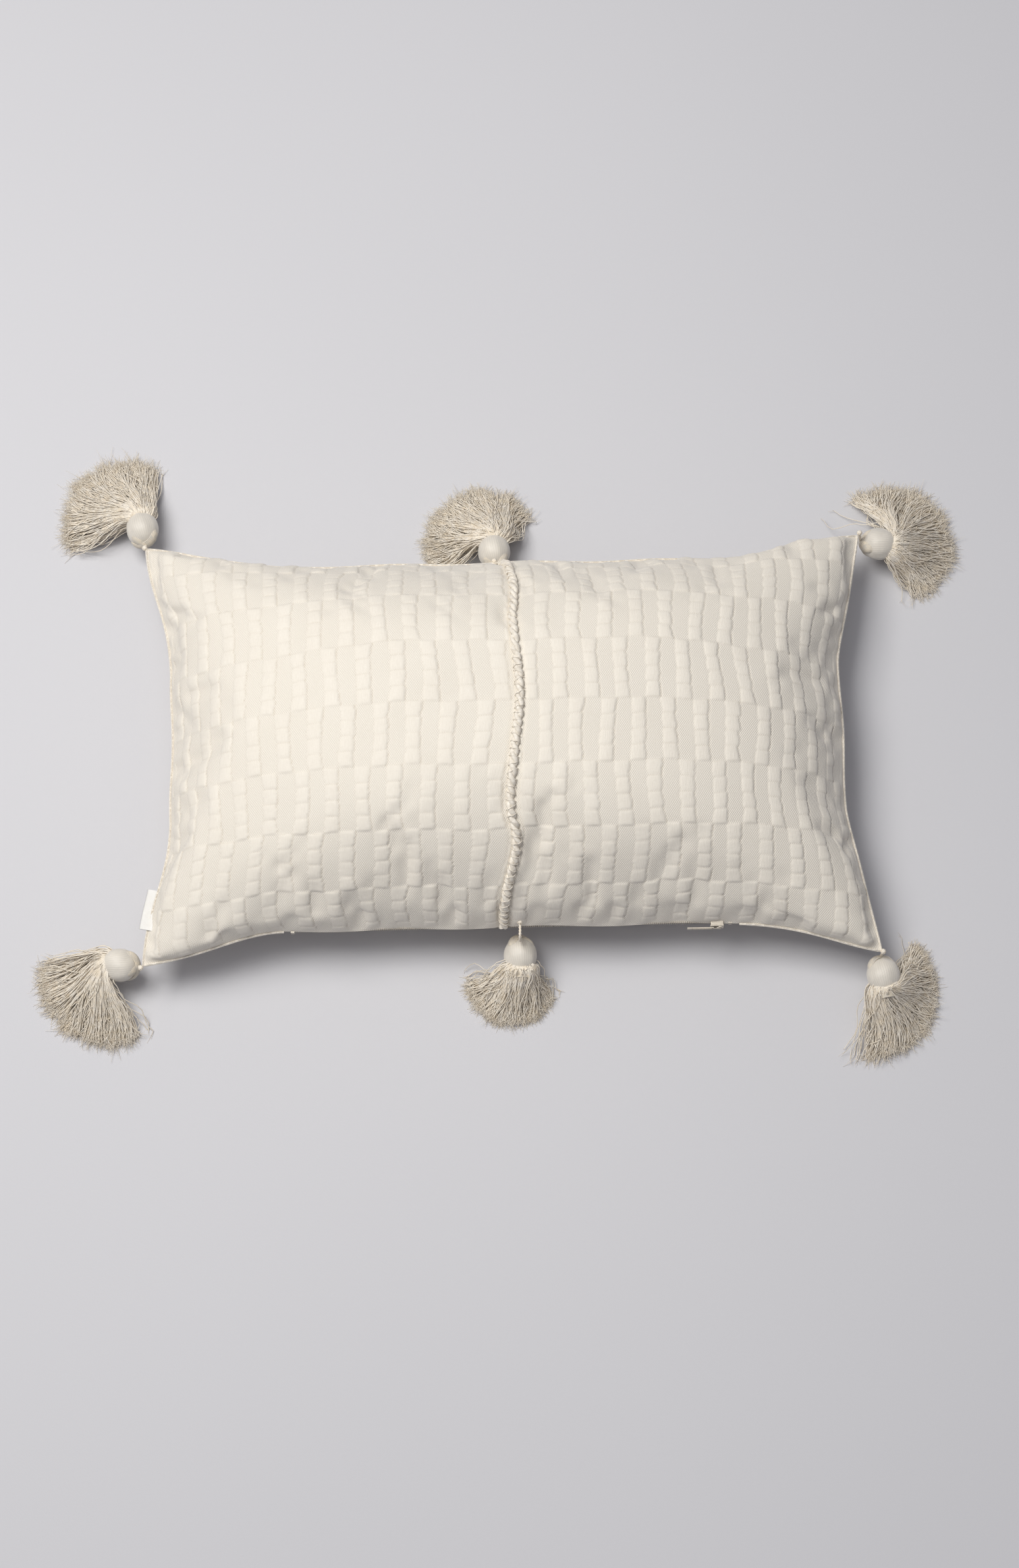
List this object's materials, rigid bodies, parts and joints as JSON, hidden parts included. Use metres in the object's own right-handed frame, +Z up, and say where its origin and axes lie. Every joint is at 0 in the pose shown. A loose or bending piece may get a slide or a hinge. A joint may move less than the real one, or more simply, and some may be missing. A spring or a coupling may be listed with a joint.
{
  "type": "throw pillow",
  "caption": "Oblong woven cotton throw pillow with a hand-worked centre seam, a zipped cover over a soft insert, and tassels at its corners and long edges.",
  "frame": {"origin": "centre of the flat patch that the pillow rests on", "axes": "+X along the pillow's length, +Y across it towards the long edge without the zip, +Z up through the woven front"},
  "size_m": [0.6799, 0.4841, 0.1306],
  "materials": {
    "woven_cotton": "handwoven natural cotton with raised warp floats",
    "plain_cotton": "plain woven cotton",
    "seam_rope": "thick soft cotton twist",
    "seam_thread": "fine cotton thread",
    "zip_tape": "woven tape",
    "zip_coil": "moulded coil",
    "zip_metal": "satin enamel",
    "insert_casing": "plain white cotton",
    "insert_filling": "loose soft filling",
    "label_ribbon": "satin ribbon",
    "tassel_cord": "twisted cotton cord",
    "tassel_head": "smooth satin-like wound yarn",
    "tassel_skirt": "fine loose cotton yarn"
  },
  "bodies": {
    "pillow": {"front_panel_left": "woven_cotton", "front_panel_right": "woven_cotton", "back_panel": "plain_cotton", "centre_seam_cord": "seam_rope", "centre_seam_wrapping": "seam_thread", "edge_seam_stitches": "seam_thread", "zip_tape_front": "zip_tape", "zip_tape_back": "zip_tape", "zip_coil_front": "zip_coil", "zip_coil_back": "zip_coil", "zip_top_stop": "zip_metal", "zip_bottom_stop": "zip_metal", "insert_casing_front": "insert_casing", "insert_casing_back": "insert_casing", "insert_fill": "insert_filling", "tassel_top_left_knot": "tassel_cord", "tassel_top_centre_knot": "tassel_cord", "tassel_top_right_knot": "tassel_cord", "tassel_bottom_left_knot": "tassel_cord", "tassel_bottom_centre_knot": "tassel_cord", "tassel_bottom_right_knot": "tassel_cord"},
    "zip_slider": {"zip_slider": "zip_metal"},
    "zip_pull": {"zip_pull": "zip_metal"},
    "label": {"side_label": "label_ribbon"},
    "tassel_top_left_cord": {"tassel_top_left_cord": "tassel_cord"},
    "tassel_top_left": {"tassel_top_left_head": "tassel_head", "tassel_top_left_crown_wrap": "tassel_head", "tassel_top_left_neck_tie": "tassel_head", "tassel_top_left_skirt": "tassel_skirt"},
    "tassel_top_centre_cord": {"tassel_top_centre_cord": "tassel_cord"},
    "tassel_top_centre": {"tassel_top_centre_head": "tassel_head", "tassel_top_centre_crown_wrap": "tassel_head", "tassel_top_centre_neck_tie": "tassel_head", "tassel_top_centre_skirt": "tassel_skirt"},
    "tassel_top_right_cord": {"tassel_top_right_cord": "tassel_cord"},
    "tassel_top_right": {"tassel_top_right_head": "tassel_head", "tassel_top_right_crown_wrap": "tassel_head", "tassel_top_right_neck_tie": "tassel_head", "tassel_top_right_skirt": "tassel_skirt"},
    "tassel_bottom_left_cord": {"tassel_bottom_left_cord": "tassel_cord"},
    "tassel_bottom_left": {"tassel_bottom_left_head": "tassel_head", "tassel_bottom_left_crown_wrap": "tassel_head", "tassel_bottom_left_neck_tie": "tassel_head", "tassel_bottom_left_skirt": "tassel_skirt"},
    "tassel_bottom_centre_cord": {"tassel_bottom_centre_cord": "tassel_cord"},
    "tassel_bottom_centre": {"tassel_bottom_centre_head": "tassel_head", "tassel_bottom_centre_crown_wrap": "tassel_head", "tassel_bottom_centre_neck_tie": "tassel_head", "tassel_bottom_centre_skirt": "tassel_skirt"},
    "tassel_bottom_right_cord": {"tassel_bottom_right_cord": "tassel_cord"},
    "tassel_bottom_right": {"tassel_bottom_right_head": "tassel_head", "tassel_bottom_right_crown_wrap": "tassel_head", "tassel_bottom_right_neck_tie": "tassel_head", "tassel_bottom_right_skirt": "tassel_skirt"}
  },
  "joints": [
    {"name": "zip_slide", "type": "slide", "parent": "pillow", "child": "zip_slider", "axis": [-1, 0, 0], "range_m": [0, 0.27]},
    {"name": "zip_pull_swing", "type": "hinge", "parent": "zip_slider", "child": "zip_pull", "pos_m": [0.14, -0.1331, 0.046], "axis": [0, 0, 1], "range_deg": [0, 160]},
    {"name": "label_flap_bend", "type": "hinge", "parent": "pillow", "child": "label", "pos_m": [-0.23752, -0.11289, 0.0428], "axis": [0.2032, 0.9791, 0], "range_deg": [-40, 40], "stiffness_Nm_per_rad": 0.0006},
    {"name": "tassel_top_left_lift", "type": "hinge", "parent": "pillow", "child": "tassel_top_left_cord", "pos_m": [-0.24963, 0.15063, 0.039], "axis": [0.8704, 0.4924, 0], "range_deg": [0, 75]},
    {"name": "tassel_top_left_turn", "type": "hinge", "parent": "tassel_top_left_cord", "child": "tassel_top_left", "pos_m": [-0.25003, 0.15701, 0.025], "axis": [0, 0, 1], "range_deg": [-35, 35]},
    {"name": "tassel_top_centre_lift", "type": "hinge", "parent": "pillow", "child": "tassel_top_centre_cord", "pos_m": [-0.006, 0.13244, 0.04694], "axis": [0.9724, 0.2334, 0], "range_deg": [0, 75]},
    {"name": "tassel_top_centre_turn", "type": "hinge", "parent": "tassel_top_centre_cord", "child": "tassel_top_centre", "pos_m": [-0.00475, 0.13425, 0.025], "axis": [0, 0, 1], "range_deg": [-20, 20]},
    {"name": "tassel_top_right_lift", "type": "hinge", "parent": "pillow", "child": "tassel_top_right_cord", "pos_m": [0.24963, 0.15063, 0.039], "axis": [0.1736, -0.9848, 0], "range_deg": [0, 75]},
    {"name": "tassel_top_right_turn", "type": "hinge", "parent": "tassel_top_right_cord", "child": "tassel_top_right", "pos_m": [0.25075, 0.14875, 0.025], "axis": [0, 0, 1], "range_deg": [-35, 35]},
    {"name": "tassel_bottom_left_lift", "type": "hinge", "parent": "pillow", "child": "tassel_bottom_left_cord", "pos_m": [-0.24963, -0.15063, 0.039], "axis": [-0.3746, 0.9272, 0], "range_deg": [0, 75]},
    {"name": "tassel_bottom_left_turn", "type": "hinge", "parent": "tassel_bottom_left_cord", "child": "tassel_bottom_left", "pos_m": [-0.25173, -0.146, 0.025], "axis": [0, 0, 1], "range_deg": [-35, 35]},
    {"name": "tassel_bottom_centre_lift", "type": "hinge", "parent": "pillow", "child": "tassel_bottom_centre_cord", "pos_m": [0.0056, -0.12854, 0.05414], "axis": [-0.9976, 0.0698, 0], "range_deg": [0, 75]},
    {"name": "tassel_bottom_centre_turn", "type": "hinge", "parent": "tassel_bottom_centre_cord", "child": "tassel_bottom_centre", "pos_m": [0.0056, -0.1307, 0.025], "axis": [0, 0, 1], "range_deg": [-20, 20]},
    {"name": "tassel_bottom_right_lift", "type": "hinge", "parent": "pillow", "child": "tassel_bottom_right_cord", "pos_m": [0.24963, -0.15063, 0.039], "axis": [-0.8704, -0.4924, 0], "range_deg": [0, 75]},
    {"name": "tassel_bottom_right_turn", "type": "hinge", "parent": "tassel_bottom_right_cord", "child": "tassel_bottom_right", "pos_m": [0.24876, -0.15031, 0.025], "axis": [0, 0, 1], "range_deg": [-35, 35]}
  ]
}
